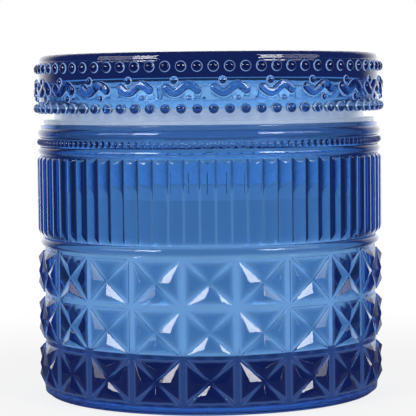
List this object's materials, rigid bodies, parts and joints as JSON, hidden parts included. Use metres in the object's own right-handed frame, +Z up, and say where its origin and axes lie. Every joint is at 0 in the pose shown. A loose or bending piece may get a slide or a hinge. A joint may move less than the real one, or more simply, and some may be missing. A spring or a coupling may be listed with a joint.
{
  "type": "lidded glass canister",
  "caption": "Straight-sided canister of pressed blue glass with reeded and star-cut bands, a beaded lift-off lid, a clear seal ring and a poured candle inside.",
  "frame": {"origin": "centre of the foot's underside, on the surface that the jar stands on", "axes": "+Z up along the jar's axis; -Y faces the viewer, with a mould seam in the middle of the front star cell"},
  "size_m": [0.1014, 0.1014, 0.0978],
  "materials": {
    "pot_glass": "fire-polished pressed glass, tinted cobalt blue",
    "lid_glass": "fire-polished pressed glass, tinted cobalt blue",
    "wax": "poured wax, softly translucent",
    "wick_cotton": "braided cotton, waxed",
    "tinplate": "stamped tinplate",
    "clear_silicone": "clear silicone, satin"
  },
  "bodies": {
    "jar": {"jar_body": "pot_glass", "candle_wax": "wax", "candle_wick": "wick_cotton", "wick_sustainer": "tinplate"},
    "seal": {"lid_seal": "clear_silicone"},
    "lid": {"lid": "lid_glass"}
  },
  "joints": [
    {"name": "lid_lift", "type": "slide", "parent": "jar", "child": "seal", "axis": [0, 0, 1], "range_m": [0, 0.06]},
    {"name": "lid_turn", "type": "hinge", "parent": "seal", "child": "lid", "pos_m": [0, 0, 0.08], "axis": [0, 0, 1], "continuous": true}
  ]
}
